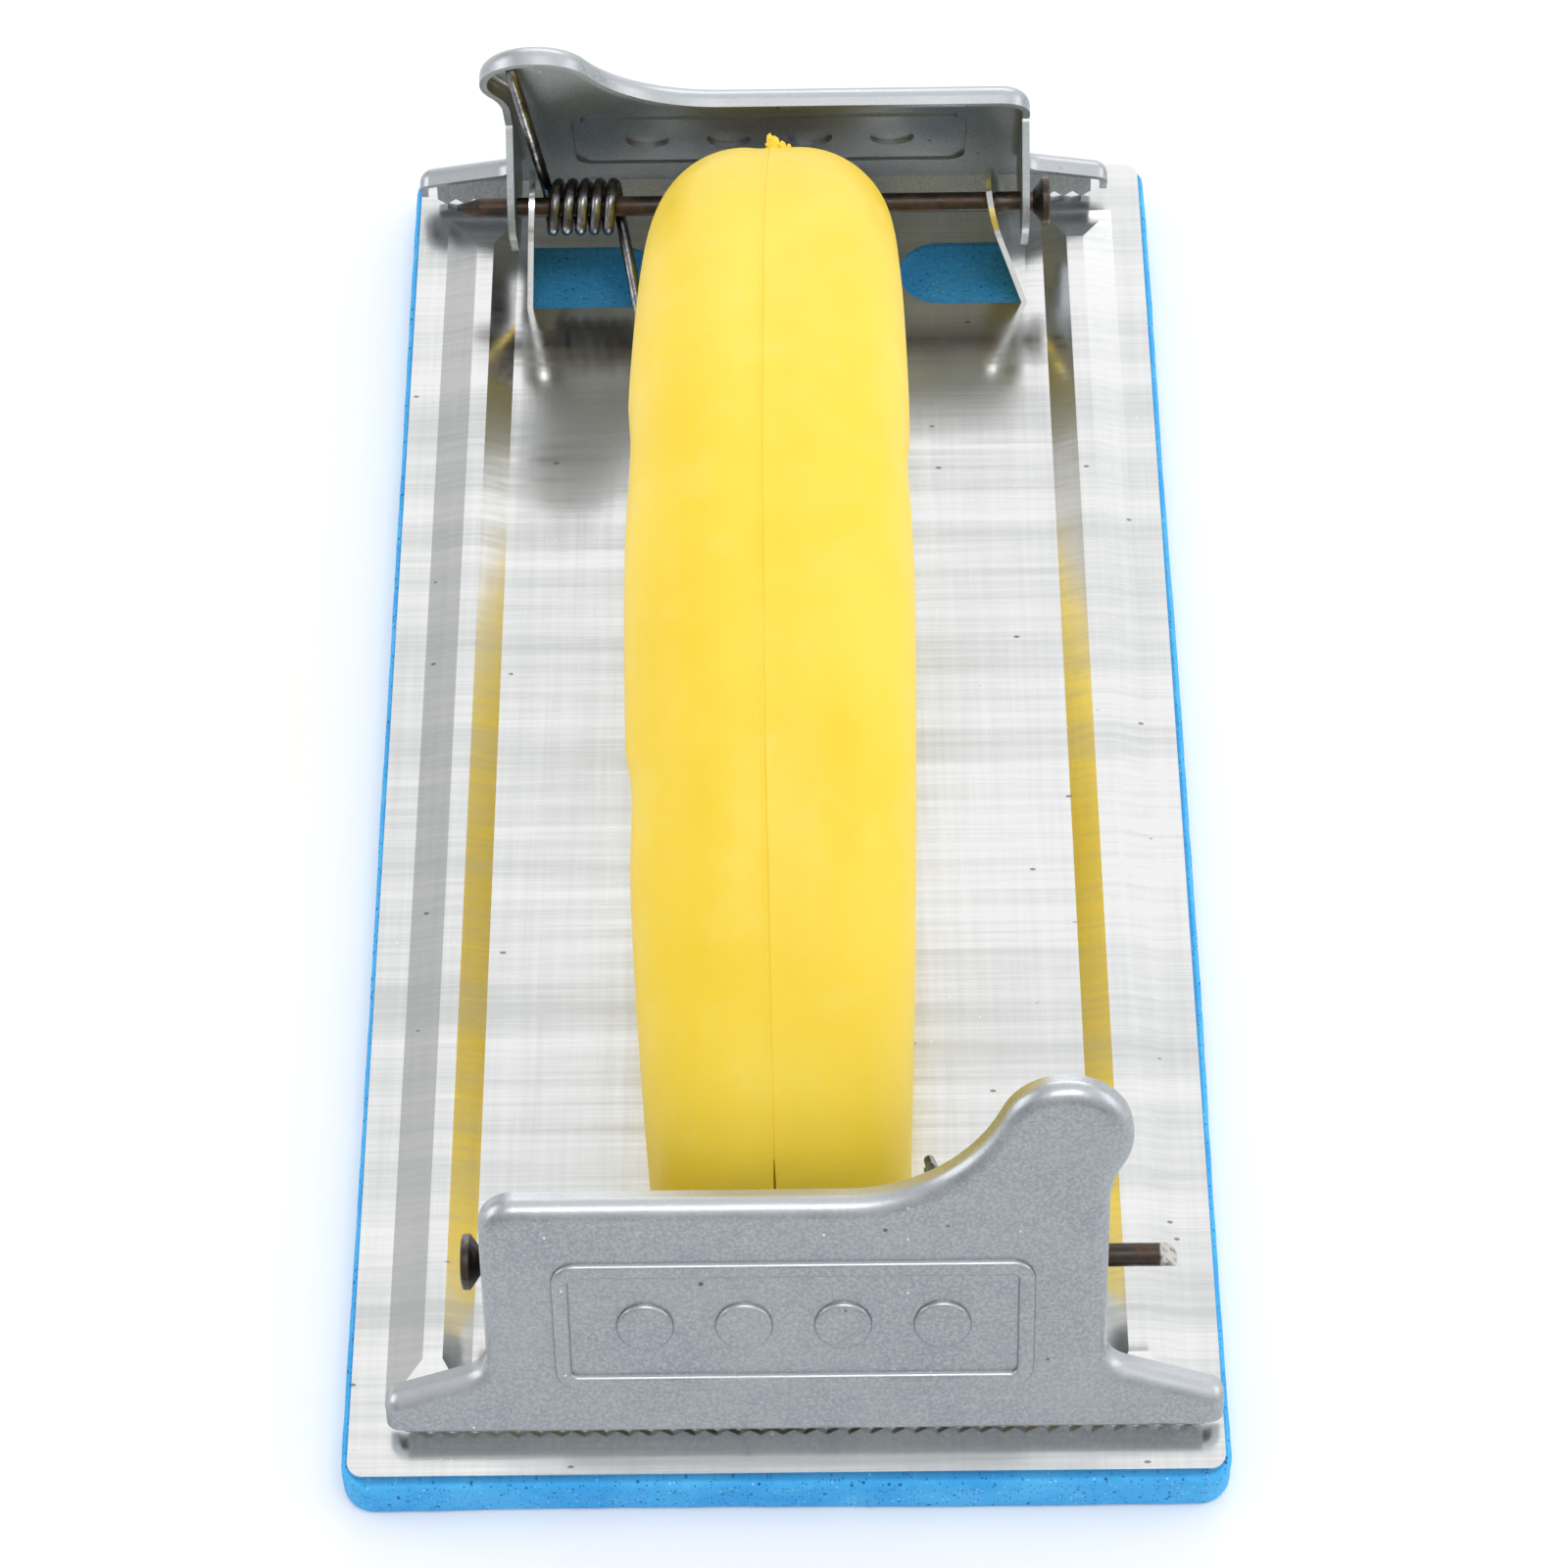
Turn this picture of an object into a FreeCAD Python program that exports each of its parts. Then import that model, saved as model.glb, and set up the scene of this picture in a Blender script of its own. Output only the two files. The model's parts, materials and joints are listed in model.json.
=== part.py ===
import FreeCAD, Part
import math
import os
from FreeCAD import Placement, Rotation, Vector

# Hand sanding board: a sheet-metal base on a foam pad, a hollow bow handle, and a sprung
# paper clamp hinged at each end.
# Frame: +Z up, +Y along the board, origin at the centre of the foam's underside.
# The far end is the near end (negative Y) turned half a turn about Z.

doc = FreeCAD.newDocument("hand_sander")

SIZES = [
    ("foam_width", 107.4, "foam pad across the board"),
    ("foam_length", 213.0, "foam pad along the board"),
    ("foam_thick", 7.0, "foam pad thickness"),
    ("foam_corner", 5.0, "foam pad corner radius"),
    ("foam_edge", 1.2, "rounding of the foam's long edges"),
    ("plate_width", 105.0, "base plate across the board"),
    ("plate_length", 210.0, "base plate along the board"),
    ("plate_thick", 0.8, "base plate sheet thickness"),
    ("plate_corner", 2.0, "base plate corner radius"),
    ("rib_inner", 38.0, "inner foot of a stiffening rib, from the centre line"),
    ("rib_top_inner", 41.5, "inner edge of the rib's flat top"),
    ("rib_top_outer", 43.9, "outer edge of the rib's flat top"),
    ("rib_outer", 48.3, "outer foot of a stiffening rib"),
    ("rib_height", 1.2, "rib height above the plate"),
    ("rib_length", 192.0, "rib length along the board"),
    ("rib_runout", 6.0, "length over which a rib fades at each end"),
    ("window_inner", 17.2, "inner end of a lanced window, from the centre line"),
    ("window_outer_head", 34.8, "outer end of a lanced window, at the ear beside the pin's head"),
    ("window_outer_tip", 35.6, "outer end of a lanced window, at the ear beside the pin's tip"),
    ("window_corner", 5.7, "corner radius of a window's inner end, the shape of the ear cut from it"),
    ("pin_along", 84.3, "hinge pin axis from the middle of the board"),
    ("pin_height", 15.0, "hinge pin axis above the plate"),
    ("pin_diameter", 2.8, "hinge pin shank"),
    ("ear_width", 11.6, "width of a plate ear along the board"),
    ("ear_height", 20.6, "height of a plate ear above the plate"),
    ("ear_foot_head", 35.6, "foot of the ear beside the pin's head, from the centre line"),
    ("ear_foot_tip", 36.4, "foot of the ear beside the pin's tip, from the centre line"),
    ("ear_lean_head", 16.0, "inward lean of the ear beside the pin's head, degrees"),
    ("ear_lean_tip", 4.0, "inward lean of the ear beside the pin's tip, degrees"),
    ("head_diameter", 6.7, "hinge pin head"),
    ("head_thick", 1.0, "flat part of the pin head"),
    ("head_cone", 1.4, "conical underside of the pin head"),
    ("head_face", 38.3, "outer face of the pin head, from the centre line"),
    ("head_edge", 0.4, "rounding of the pin head's rim"),
    ("tip_length", 3.2, "length of the far pin's point"),
    ("tip_blunt", 0.5, "end radius of the far pin's point"),
    ("clipped_bevel", 0.3, "bevel left around the near pin's clipped end"),
    ("near_pin_tip", 46.9, "clipped end of the near pin, from the centre line"),
    ("near_pin_clip", 2.4, "length of the slanted clip at the near pin's end"),
    ("near_pin_slant", 44.0, "slope of the near pin's clipped end, degrees"),
    ("far_pin_tip", 45.5, "tip of the far pin, from the centre line"),
    ("running_gap", 0.08, "radial clearance of the clamp on its pin"),
    ("fixed_gap", 0.03, "radial clearance of the pin in the ears and the handle"),
    ("bow_half_span", 90.0, "outer face of the handle's foot from the middle"),
    ("bow_height", 66.2, "top of the handle above the plate"),
    ("bow_inner_span", 63.5, "inner face of the handle's foot from the middle"),
    ("bow_inner_height", 40.0, "finger side of the grip above the plate"),
    ("grip_width", 35.6, "handle width at the grip"),
    ("foot_width", 30.8, "handle width at its feet"),
    ("crown_flat", 3.6, "half of the flat left between the two crown roundings"),
    ("finger_round", 7.0, "rounding on the finger side of the grip"),
    ("foot_swell", 1.5, "how slowly the handle widens from its feet to the grip, an exponent"),
    ("handle_wall", 2.6, "wall thickness of the hollow handle"),
    ("clamp_lean", 22.0, "lean of the closed clamp towards the handle, degrees"),
    ("clamp_sheet", 1.0, "clamp sheet thickness"),
    ("face_gap", 11.2, "clamp face from the pin axis"),
    ("face_foot", 9.38, "pin axis above the clamp's datum line, along its face"),
    ("rim_depth", 3.2, "depth of the clamp's rolled rim"),
    ("rim_round", 2.0, "outer bend radius of the rolled rim"),
    ("left_side", 35.2, "clamp body side at the pin's head end, from the centre line"),
    ("right_side", 37.9, "clamp body side at the pin's tip end, from the centre line"),
    ("left_wing", 47.6, "jaw wing end at the pin's head end"),
    ("right_wing", 52.2, "jaw wing end at the pin's tip end"),
    ("wing_slope", 18.4, "slope of the wings' upper edge, degrees"),
    ("wing_end", -3.0, "wing end's upper corner above the datum line"),
    ("jaw_fold", -7.2, "fold of the jaw lip from the datum line"),
    ("top_edge", 26.3, "clamp body's top edge above the datum line"),
    ("body_corner", 4.2, "corner radius of the clamp body"),
    ("wing_corner", 3.5, "inner corner radius where a wing leaves the body"),
    ("wing_round", 2.2, "corner radius of a wing's end"),
    ("tab_centre", 32.5, "thumb tab centre from the centre line"),
    ("tab_top", 42.4, "thumb tab top above the datum line"),
    ("tab_radius", 7.8, "thumb tab radius"),
    ("tab_slope", 65.1, "slope of the thumb tab's long flank, degrees"),
    ("tab_flank_start", 20.0, "corner where the long flank would meet the top edge"),
    ("tab_flank_round", 19.4, "hollow radius at the foot of the long flank"),
    ("tab_side_slope", 60.0, "slope of the thumb tab's short flank, degrees"),
    ("tab_side_round", 9.4, "hollow radius at the foot of the short flank"),
    ("lip_angle", 45.0, "inward fold of the jaw lip, degrees"),
    ("lip_gap", 0.15, "teeth above the plate when closed"),
    ("tooth_pitch", 2.6, "pitch of the jaw teeth"),
    ("tooth_depth", 0.8, "depth of the jaw teeth"),
    ("flange_radius", 5.6, "round end of a hinge flange about the pin"),
    ("flange_top", 20.5, "upper root of a hinge flange above the datum line"),
    ("flange_foot", 1.0, "lower root of a hinge flange above the datum line"),
    ("flange_shoulder", 1.2, "straight part of a flange's upper root"),
    ("flange_upper_round", 3.0, "hollow radius at a flange's upper root"),
    ("flange_lower_round", 2.0, "hollow radius at a flange's lower root"),
    ("frame_left", 26.0, "embossed frame's centre line, head end"),
    ("frame_right", 28.4, "embossed frame's centre line, tip end"),
    ("frame_low", 0.2, "embossed frame's lower line above the datum line"),
    ("frame_high", 17.1, "embossed frame's upper line above the datum line"),
    ("frame_corner", 1.8, "embossed frame's corner radius"),
    ("bead_width", 2.0, "width of the embossed bead"),
    ("bead_height", 0.6, "height of the embossed bead"),
    ("bead_inset", 0.3, "how much narrower the bead's back is than its front"),
    ("boss_radius", 3.4, "radius of a plain round boss in the frame"),
    ("boss_pitch", 11.6, "spacing of the plain round bosses"),
    ("wire_diameter", 1.65, "spring wire"),
    ("coil_radius", 3.27, "spring coil, mean radius"),
    ("coil_pitch", 1.95, "spring coil pitch"),
    ("coil_turns", 5, "whole turns of the spring coil"),
    ("coil_start", 22.65, "inner end of the coil, from the centre line"),
    ("short_leg_side", 18.0, "tip of the short leg, from the centre line"),
    ("short_leg_along", 21.3, "tip of the short leg, inward of the pin"),
    ("long_leg_side", 36.0, "tip of the long leg, from the centre line"),
    ("long_leg_reach", 38.0, "tip of the long leg above the datum line"),
    ("short_leg_gap", 0.1, "short leg above the plate"),
    ("long_leg_gap", 0.15, "long leg behind the clamp's face"),
    ("bend_swell", 1.04, "wire at a leg's bend, as a share of its own thickness"),
]

sheet = doc.addObject("Spreadsheet::Sheet", "sizes")
for row, (alias, value, meaning) in enumerate(SIZES, start=1):
    sheet.set("A%d" % row, alias)
    sheet.set("B%d" % row, str(value))
    sheet.set("C%d" % row, meaning)
    sheet.setAlias("B%d" % row, alias)
doc.recompute()


def size(alias):
    """A driving dimension read from the sheet."""
    return float(sheet.get(alias))


def plane(body, role):
    """One of a body's own origin planes."""
    for feature in body.Origin.OriginFeatures:
        if feature.Role == role:
            return feature


def sketch_on(body, name, role, offset=None):
    """A sketch flat on an origin plane, lifted by an offset given as an expression."""
    sketch = body.newObject("Sketcher::SketchObject", name)
    sketch.AttachmentSupport = [(plane(body, role), "")]
    sketch.MapMode = "FlatFace"
    if offset:
        sketch.setExpression("AttachmentOffset.Base.z", offset)
    return sketch


def rounded_outline(corners):
    """Edges of a closed outline: each corner is (x, y, radius) and is rounded by an arc."""
    starts = []
    ends = []
    arcs = []
    count = len(corners)
    for index in range(count):
        before = Vector(*corners[index - 1][:2])
        here = Vector(*corners[index][:2])
        after = Vector(*corners[(index + 1) % count][:2])
        radius = corners[index][2]
        back = (before - here).normalize()
        ahead = (after - here).normalize()
        if radius == 0:
            starts.append(here)
            ends.append(here)
            arcs.append(None)
            continue
        half_angle = back.getAngle(ahead) / 2
        reach = radius / math.tan(half_angle)
        centre_reach = radius / math.sin(half_angle)
        bisector = (back + ahead).normalize()
        centre = here + bisector * centre_reach
        start = here + back * reach
        end = here + ahead * reach
        middle = centre - bisector * radius
        starts.append(start)
        ends.append(end)
        arcs.append(Part.Arc(start, middle, end))
    edges = []
    for index in range(count):
        if arcs[index]:
            edges.append(arcs[index])
        following = (index + 1) % count
        if ends[index].distanceToPoint(starts[following]) > 1e-6:
            edges.append(Part.LineSegment(ends[index], starts[following]))
    return edges


def rectangle(left, low, right, high, radius=0):
    """Corners of a rectangle for rounded_outline."""
    return [(left, low, radius), (right, low, radius), (right, high, radius), (left, high, radius)]


def draw(sketch, corners):
    """Draw a rounded outline in a sketch."""
    sketch.addGeometry(rounded_outline(corners), False)


def pad(body, name, sketch, length, symmetric=False, reverse=False):
    """Pad a sketch by a length given as an expression."""
    feature = body.newObject("PartDesign::Pad", name)
    feature.Profile = sketch
    feature.setExpression("Length", length)
    feature.Reversed = reverse
    if symmetric:
        feature.SideType = "Symmetric"
    doc.recompute()
    return feature


def pocket(body, name, sketch, length, symmetric=False, reverse=False):
    """Cut a sketch by a length given as an expression, and check that it removes material."""
    volume_before = body.Shape.Volume
    feature = body.newObject("PartDesign::Pocket", name)
    feature.Profile = sketch
    feature.setExpression("Length", length)
    feature.Reversed = reverse
    if symmetric:
        feature.SideType = "Symmetric"
    doc.recompute()
    if body.Shape.Volume >= volume_before:
        raise RuntimeError("%s removes nothing" % name)
    return feature


def round_edges(body, name, base, edge_names, radius):
    """Fillet named edges of a body's feature by a radius given as an expression."""
    feature = body.newObject("PartDesign::Fillet", name)
    feature.Base = (base, edge_names)
    feature.setExpression("Radius", radius)
    doc.recompute()
    return feature


def edges_where(shape, test):
    """Names of a shape's edges whose bounding box passes a test."""
    return ["Edge%d" % number for number, edge in enumerate(shape.Edges, start=1)
            if test(edge.BoundBox)]


def faces_where(shape, test):
    """Names of a shape's faces whose bounding box passes a test."""
    return ["Face%d" % number for number, face in enumerate(shape.Faces, start=1)
            if test(face.BoundBox)]


def flat_at(box, axis, level):
    """True for a bounding box that is flat on an axis at a level."""
    low = getattr(box, axis + "Min")
    high = getattr(box, axis + "Max")
    return abs(low - level) < 1e-4 and abs(high - level) < 1e-4


def new_body(name):
    """An empty PartDesign body labelled with its own name."""
    return doc.addObject("PartDesign::Body", name)


def join(name, members):
    """Fuse several objects."""
    fused = doc.addObject("Part::MultiFuse", name)
    fused.Shapes = members
    doc.recompute()
    return fused


def cut(name, base, tool):
    """Cut one object with another."""
    result = doc.addObject("Part::Cut", name)
    result.Base = base
    result.Tool = tool
    doc.recompute()
    if result.Shape.Volume >= base.Shape.Volume:
        raise RuntimeError("%s removes nothing" % name)
    return result


PLATE_TOP = size("foam_thick") + size("plate_thick")
PIN_Z = PLATE_TOP + size("pin_height")
HALF_TURN = Rotation(Vector(0, 0, 1), 180)
# A round end's radius as a share of its half width, so a short flat is left between its corners.
NEARLY = 0.98
ALONG_X = Rotation(Vector(0, 1, 0), 90)


def place_end(feature, end, offset, rotation=Rotation()):
    """Place a near-end piece, or its half-turned twin at the far end."""
    near = Placement(offset, rotation)
    if end == "far":
        near = Placement(Vector(), HALF_TURN).multiply(near)
    feature.Placement = near


# --- foam pad ------------------------------------------------------------------------------

def make_foam_pad():
    """The soft pad: a rounded slab under the plate."""
    body = new_body("foam_pad")
    outline = sketch_on(body, "foam_outline", "XY_Plane")
    half_width = size("foam_width") / 2
    half_length = size("foam_length") / 2
    draw(outline, rectangle(-half_width, -half_length, half_width, half_length, size("foam_corner")))
    slab = pad(body, "foam_slab", outline, "sizes.foam_thick")
    rims = edges_where(slab.Shape, lambda box: flat_at(box, "Z", size("foam_thick"))
                       or flat_at(box, "Z", 0))
    round_edges(body, "foam_rounding", slab, rims, "sizes.foam_edge")
    return body


# --- base plate ----------------------------------------------------------------------------

def rib_section(drop):
    """Section of one rib: a trapezium on the plate, or its hollow dropped by the sheet."""
    thick = size("plate_thick")
    slant = drop * 0.6
    low = thick - drop
    high = thick + size("rib_height") - drop
    return [(size("rib_inner") + slant, low, 0), (size("rib_outer") - slant, low, 0),
            (size("rib_top_outer") - slant / 3, high, 0), (size("rib_top_inner") + slant / 3, high, 0)]


def mirrored(corners):
    """The same outline on the other side of the centre line."""
    return [(-x, y, radius) for x, y, radius in reversed(corners)]


def make_plate_sheet():
    """The flat sheet with its two raised ribs and four lanced windows."""
    body = new_body("plate_sheet")
    outline = sketch_on(body, "plate_outline", "XY_Plane")
    half_width = size("plate_width") / 2
    half_length = size("plate_length") / 2
    draw(outline, rectangle(-half_width, -half_length, half_width, half_length, size("plate_corner")))
    pad(body, "sheet_blank", outline, "sizes.plate_thick")

    ribs = sketch_on(body, "rib_profile", "XZ_Plane")
    draw(ribs, rib_section(0))
    draw(ribs, mirrored(rib_section(0)))
    raised = pad(body, "ribs_raised", ribs, "sizes.rib_length", symmetric=True)
    rib_top = size("plate_thick") + size("rib_height")
    rib_end = size("rib_length") / 2
    end_edges = edges_where(raised.Shape, lambda box: flat_at(box, "Z", rib_top)
                            and abs(abs(box.YMin) - rib_end) < 1e-4
                            and abs(box.YMax - box.YMin) < 1e-4)
    runout = body.newObject("PartDesign::Chamfer", "rib_runouts")
    runout.Base = (raised, end_edges)
    runout.ChamferType = "Two distances"
    runout.setExpression("Size", "sizes.rib_height * 0.98")
    runout.setExpression("Size2", "sizes.rib_runout")
    runout.FlipDirection = runout_is_flat(runout)
    doc.recompute()

    hollows = sketch_on(body, "rib_hollow_profile", "XZ_Plane")
    draw(hollows, rib_section(size("plate_thick")))
    draw(hollows, mirrored(rib_section(size("plate_thick"))))
    pocket(body, "rib_hollows", hollows, "sizes.rib_length - 3 * sizes.rib_runout", symmetric=True)

    windows = sketch_on(body, "window_outlines", "XY_Plane")
    near_edge = size("pin_along") - size("ear_width") / 2
    far_edge = size("pin_along") + size("ear_width") / 2
    corner = size("window_corner")
    for side in (-1, 1):
        for end in (-1, 1):
            inner = side * size("window_inner")
            outer = side * size("window_outer_tip" if side * end < 0 else "window_outer_head")
            corners = [(inner, end * near_edge, corner), (outer, end * near_edge, 0),
                       (outer, end * far_edge, 0), (inner, end * far_edge, corner)]
            draw(windows, corners)
    pocket(body, "windows", windows, "sizes.plate_thick * 3", symmetric=True)
    return body


def runout_is_flat(chamfer):
    """True if the chamfer's long side would run down the rib's end face instead of its top."""
    doc.recompute()
    rib_top = size("plate_thick") + size("rib_height")
    tops = [face.BoundBox for face in chamfer.Shape.Faces if flat_at(face.BoundBox, "Z", rib_top)]
    full_length = size("rib_length") - size("rib_runout")
    return not tops or tops[0].YLength > full_length


# Share of an ear's foot thickness that is sunk into the sheet.
EAR_SEATING = 0.9


def make_ear(end, part, side):
    """An ear bent up from the sheet beside a window, with a round top."""
    name = "%s_%s_ear" % (end, part)
    lean = size("ear_lean_" + part)
    thick = size("plate_thick")
    width = size("ear_width")
    body = new_body(name)
    outline = sketch_on(body, name + "_outline", "YZ_Plane")
    half = width / 2
    draw(outline, [(-half, 0, 0), (half, 0, 0), (half, size("ear_height"), half * NEARLY),
                   (-half, size("ear_height"), half * NEARLY)])
    pad(body, name + "_blade", outline, "sizes.plate_thick", reverse=side > 0)
    tilt = Rotation(Vector(0, 1, 0), -side * lean)
    sink = thick * math.cos(math.radians(lean)) - thick * math.sin(math.radians(lean))
    foot = Vector(side * size("ear_foot_" + part), -size("pin_along"), PLATE_TOP - sink * EAR_SEATING)
    place_end(body, end, foot, tilt)
    return body


def make_pin_bore(name, end, gap):
    """A cylinder along a hinge pin's axis, wider than its shank by a radial gap."""
    bore = doc.addObject("Part::Cylinder", name)
    bore.setExpression("Radius", "sizes.pin_diameter / 2 + sizes.%s" % gap)
    bore.setExpression("Height", "sizes.plate_width")
    place_end(bore, end, Vector(-size("plate_width") / 2, -size("pin_along"), PIN_Z), ALONG_X)
    return bore


def make_base_plate():
    """The sheet with its four ears, bored for the two hinge pins."""
    sheet_body = make_plate_sheet()
    sheet_body.Placement = Placement(Vector(0, 0, size("foam_thick")), Rotation())
    members = [sheet_body]
    for end in ("near", "far"):
        members.append(make_ear(end, "head", -1))
        members.append(make_ear(end, "tip", 1))
    solid = join("plate_with_ears", members)
    bores = join("ear_bores", [make_pin_bore("near_ear_bore", "near", "fixed_gap"),
                               make_pin_bore("far_ear_bore", "far", "fixed_gap")])
    return cut("base_plate", solid, bores)


# --- handle --------------------------------------------------------------------------------

STATIONS = 13


def bow_section(turn, inset):
    """Section of the bow at an angle from the near foot, drawn in its fanned plane."""
    outer = Vector(0, -(size("bow_half_span") - inset) * math.cos(turn),
                   (size("bow_height") - inset) * math.sin(turn))
    inner = Vector(0, -(size("bow_inner_span") + inset) * math.cos(turn),
                   (size("bow_inner_height") + inset) * math.sin(turn))
    depth = outer.distanceToPoint(inner)
    swell = math.sin(turn) ** size("foot_swell")
    width = size("foot_width") + (size("grip_width") - size("foot_width")) * swell
    half = width / 2 - inset
    crown = half - size("crown_flat")
    fingers = size("finger_round") - inset
    corners = [(-half, 0, fingers), (half, 0, fingers), (half, depth, crown), (-half, depth, crown)]
    wire = Part.Wire([edge.toShape() for edge in rounded_outline(corners)])
    out = (outer - inner).normalize()
    wire.Placement = Placement(inner, Rotation(Vector(1, 0, 0), out, Vector(), "XYZ"))
    return wire


def make_bow(name, inset):
    """The arched handle solid, or the hollow inside it."""
    floor_turn = math.asin(inset / size("bow_inner_height"))
    step = (math.pi - 2 * floor_turn) / (STATIONS - 1)
    sections = [bow_section(floor_turn + index * step, inset) for index in range(STATIONS)]
    bow = doc.addObject("Part::Feature", name)
    bow.Shape = Part.makeLoft(sections, True, False)
    bow.Placement = Placement(Vector(0, 0, PLATE_TOP), Rotation())
    return bow


def make_handle():
    """The hollow handle, bored crosswise through both feet for the hinge pins."""
    hollow = cut("handle_hollow", make_bow("handle_outside", 0),
                 make_bow("handle_inside", size("handle_wall")))
    bores = join("handle_bores", [make_pin_bore("near_foot_bore", "near", "fixed_gap"),
                                  make_pin_bore("far_foot_bore", "far", "fixed_gap")])
    return cut("handle", hollow, bores)


# --- hinge pins ----------------------------------------------------------------------------

def turned_pin(end, name, tip_length, tip_radius):
    """A round-headed pin turned about its own axis, narrowing over its tip to an end radius."""
    body = new_body(name)
    outline = sketch_on(body, end + "_pin_profile", "XZ_Plane")
    shank = size("pin_diameter") / 2
    head = size("head_diameter") / 2
    length = size("head_face") + size(end + "_pin_tip")
    head_end = size("head_thick")
    cone_end = head_end + size("head_cone")
    draw(outline, [(0, 0, 0), (head, 0, size("head_edge")), (head, head_end, 0), (shank, cone_end, 0),
                   (shank, length - tip_length, 0), (tip_radius, length, 0), (0, length, 0)])
    turned = body.newObject("PartDesign::Revolution", end + "_pin_turned")
    turned.Profile = outline
    turned.ReferenceAxis = (outline, ["V_Axis"])
    turned.Angle = 360
    doc.recompute()
    place_end(body, end, Vector(-size("head_face"), -size("pin_along"), PIN_Z), ALONG_X)
    return body


def make_near_pin():
    """The near hinge pin: its end was clipped off at a slant."""
    bevel = size("clipped_bevel")
    whole = turned_pin("near", "near_pin_whole", bevel, size("pin_diameter") / 2 - bevel)
    clip = doc.addObject("Part::Box", "near_pin_clip")
    clip.Length = clip.Width = clip.Height = 3 * size("pin_diameter")
    corner = Vector(size("near_pin_tip") - size("near_pin_clip"),
                    -size("pin_along") - 1.5 * size("pin_diameter"), PIN_Z + size("pin_diameter") / 2)
    clip.Placement = Placement(corner, Rotation(Vector(0, 1, 0), size("near_pin_slant")))
    return cut("near_hinge_pin", whole, clip)


def make_far_pin():
    """The far hinge pin, which keeps its blunt point."""
    return turned_pin("far", "far_hinge_pin", size("tip_length"), size("tip_blunt"))


# --- torsion springs -----------------------------------------------------------------------

def clamp_point(side, above_datum, inward):
    """A point of the closed near clamp: along X, up its face and inward from its face."""
    lean = math.radians(size("clamp_lean"))
    up = above_datum - size("face_foot")
    out = size("face_gap") - inward
    along = -size("pin_along") + up * math.sin(lean) - out * math.cos(lean)
    height = PIN_Z + up * math.cos(lean) + out * math.sin(lean)
    return Vector(side, along, height)


def leg(bend, tip, radius):
    """A straight spring leg: a slightly swollen ball at its bend and a round tip."""
    run = tip - bend
    straight = Part.makeCylinder(radius, run.Length, bend, run)
    return straight.fuse([Part.makeSphere(radius * size("bend_swell"), bend), Part.makeSphere(radius, tip)])


def make_spring(end):
    """A torsion spring about the pin: short leg on the plate, long leg behind the thumb tab."""
    radius = size("coil_radius")
    wire = size("wire_diameter") / 2
    centre = Vector(size("coil_start"), -size("pin_along"), PIN_Z)
    foot = Vector(size("short_leg_side"), -size("pin_along") + size("short_leg_along"),
                  PLATE_TOP + wire + size("short_leg_gap"))
    reach = Vector(0, foot.y - centre.y, foot.z - centre.z)
    start_angle = math.atan2(reach.z, reach.y) + math.asin(radius / reach.Length) - math.pi / 2
    turns = size("coil_turns") + (math.pi + start_angle % (-2 * math.pi)) / (2 * math.pi)
    length = turns * size("coil_pitch")
    helix = Part.makeHelix(size("coil_pitch"), length, radius, 0, True)
    helix.rotate(Vector(), Vector(0, 0, 1), math.degrees(start_angle))
    helix.Placement = Placement(centre, Rotation(Vector(0, 1, 0), Vector(0, 0, 1),
                                                 Vector(1, 0, 0), "XYZ")).multiply(helix.Placement)
    spine = Part.Wire(helix.Edges)
    first = helix.Edges[0]
    start = first.valueAt(first.FirstParameter)
    heading = first.tangentAt(first.FirstParameter)
    section = Part.Wire([Part.makeCircle(wire, start, heading)])
    coil = spine.makePipeShell([section], True, True)
    last = helix.Edges[-1]
    finish = last.valueAt(last.LastParameter)
    if finish.x < start.x:
        start, finish = finish, start
    inward = size("clamp_sheet") + wire + size("long_leg_gap")
    hook = clamp_point(size("long_leg_side"), size("long_leg_reach"), inward)
    spring = doc.addObject("Part::Feature", end + "_spring")
    spring.Shape = coil.fuse([leg(start, foot, wire), leg(finish, hook, wire)])
    place_end(spring, end, Vector())
    return spring


# --- clamps --------------------------------------------------------------------------------

def clamp_outline():
    """Corners of the clamp's face: jaw wings, body and thumb tab, from the pin's level."""
    datum = -size("face_foot")
    slope = math.tan(math.radians(size("wing_slope")))
    fold = datum + size("jaw_fold")
    wing = datum + size("wing_end")
    top = datum + size("top_edge")
    tab_top = datum + size("tab_top")
    left_root = wing + (size("left_wing") - size("left_side")) * slope
    right_root = wing + (size("right_wing") - size("right_side")) * slope
    radius = size("tab_radius")
    flank = math.radians(size("tab_slope"))
    side_flank = math.radians(size("tab_side_slope"))
    tab_left = size("tab_flank_start") + (tab_top - top) / math.tan(flank)
    tab_right = size("tab_centre") + radius * math.tan((math.pi - side_flank) / 2)
    side_meet = tab_top - (tab_right - size("right_side")) * math.tan(side_flank)
    return [(-size("left_wing"), fold, 0),
            (-size("left_wing"), wing, size("wing_round")),
            (-size("left_side"), left_root, size("wing_corner")),
            (-size("left_side"), top, size("body_corner")),
            (size("tab_flank_start"), top, size("tab_flank_round")),
            (tab_left, tab_top, radius - 0.1),
            (tab_right, tab_top, radius - 0.1),
            (size("right_side"), side_meet, size("tab_side_round")),
            (size("right_side"), right_root, size("wing_corner")),
            (size("right_wing"), wing, size("wing_round")),
            (size("right_wing"), fold, 0)]


def frame_outline(grow):
    """The embossed frame's centre line, grown outward."""
    datum = -size("face_foot")
    return rectangle(-size("frame_left") - grow, datum + size("frame_low") - grow,
                     size("frame_right") + grow, datum + size("frame_high") + grow,
                     size("frame_corner") + grow)


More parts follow.
